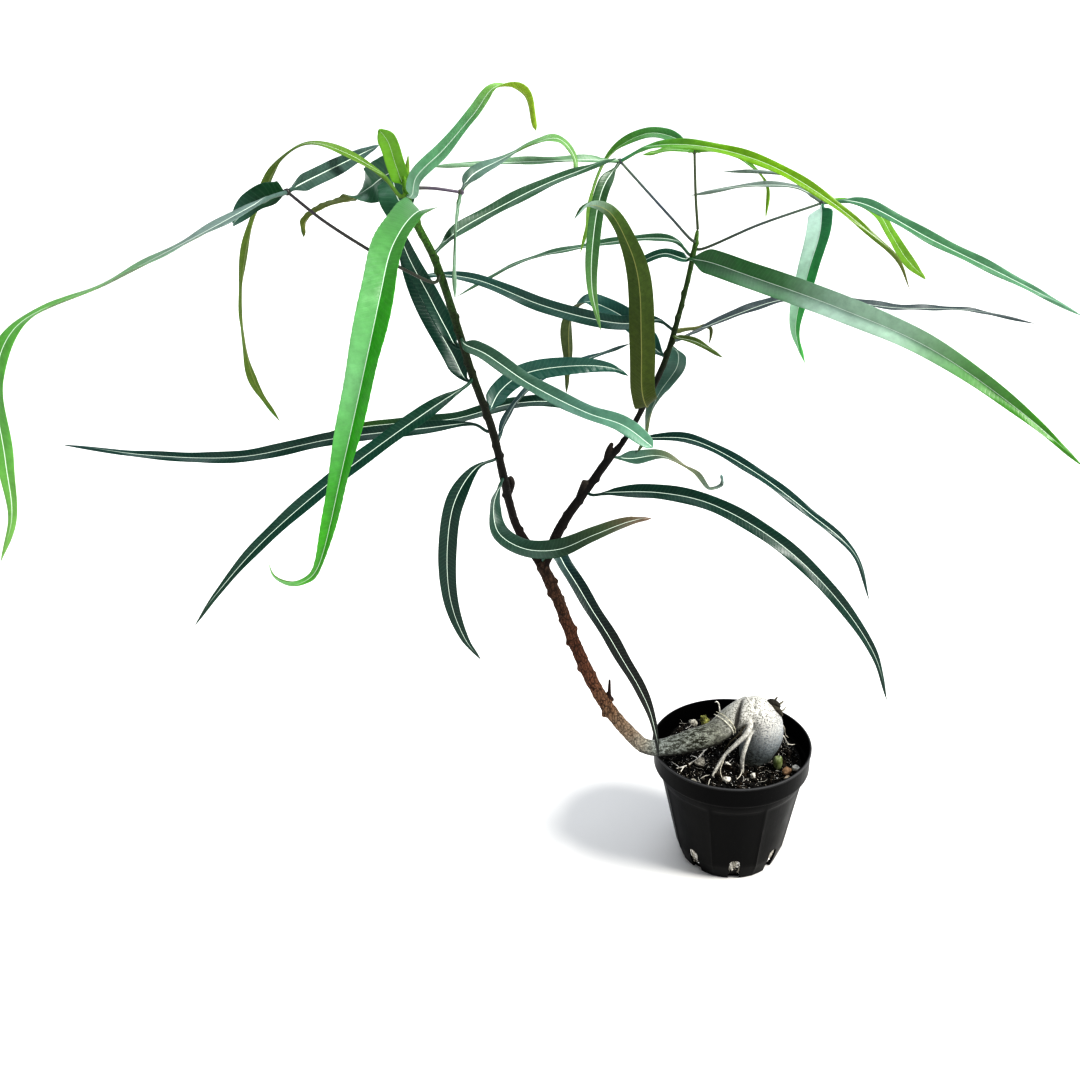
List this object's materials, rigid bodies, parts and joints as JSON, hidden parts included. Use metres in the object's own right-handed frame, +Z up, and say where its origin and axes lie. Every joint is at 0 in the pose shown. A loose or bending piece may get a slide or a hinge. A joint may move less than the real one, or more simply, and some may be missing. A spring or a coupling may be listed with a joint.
{
  "type": "potted bottle tree",
  "caption": "Young bottle tree with a swollen arching base, a forked stem and long strap leaves, standing in a small round black nursery pot.",
  "frame": {"origin": "middle of the pot's flat underside", "axes": "+Z up, +X to the picture viewer's right, -Y towards the viewer; the stem leans out over the pot's -X side"},
  "size_m": [0.5953, 0.3371, 0.4774],
  "materials": {
    "pot_plastic": "satin black",
    "potting_mix": "coarse, damp and matte",
    "bark": "smooth grey-white base, rough red-brown stem",
    "leaf": "satin, dark bluish green with a pale midrib",
    "young_leaf": "glossy bright green",
    "perlite": "matte white",
    "pellet": "waxy green",
    "pebble": "matte brown",
    "root": "smooth off-white"
  },
  "bodies": {
    "root": {"pot": "pot_plastic", "potting_mix": "potting_mix", "plant_wood": "bark", "leaf_trunk": "leaf", "leaf_left_01": "leaf", "leaf_left_02": "leaf", "leaf_left_03": "leaf", "leaf_left_04": "leaf", "leaf_left_05": "leaf", "leaf_left_06": "leaf", "leaf_left_07": "leaf", "leaf_left_08": "leaf", "leaf_left_09": "leaf", "leaf_left_10": "leaf", "leaf_left_11": "leaf", "leaf_left_12": "young_leaf", "leaf_left_13": "young_leaf", "leaf_left_14": "young_leaf", "leaf_left_15": "young_leaf", "leaf_left_bud": "young_leaf", "leaf_right_01": "leaf", "leaf_right_02": "leaf", "leaf_right_03": "leaf", "leaf_right_04": "leaf", "leaf_right_05": "leaf", "leaf_right_06": "leaf", "leaf_right_07": "leaf", "leaf_right_08": "leaf", "leaf_right_09": "leaf", "leaf_right_10": "leaf", "leaf_right_11": "leaf", "leaf_right_12": "leaf", "leaf_right_13": "leaf", "leaf_right_14": "leaf", "divided_leaf_left_1": "young_leaf", "divided_leaf_left_2": "young_leaf", "divided_leaf_right_1": "young_leaf", "divided_leaf_right_2": "young_leaf", "divided_leaf_right_3": "young_leaf", "white_ball": "perlite", "yellow_bit": "pellet", "perlite_1": "perlite", "perlite_2": "perlite", "perlite_3": "perlite", "perlite_4": "perlite", "perlite_5": "perlite", "green_pellet": "pellet", "brown_pebble": "pebble", "cream_pebble": "perlite", "white_pebble": "perlite", "fine_root": "root"}
  },
  "joints": []
}
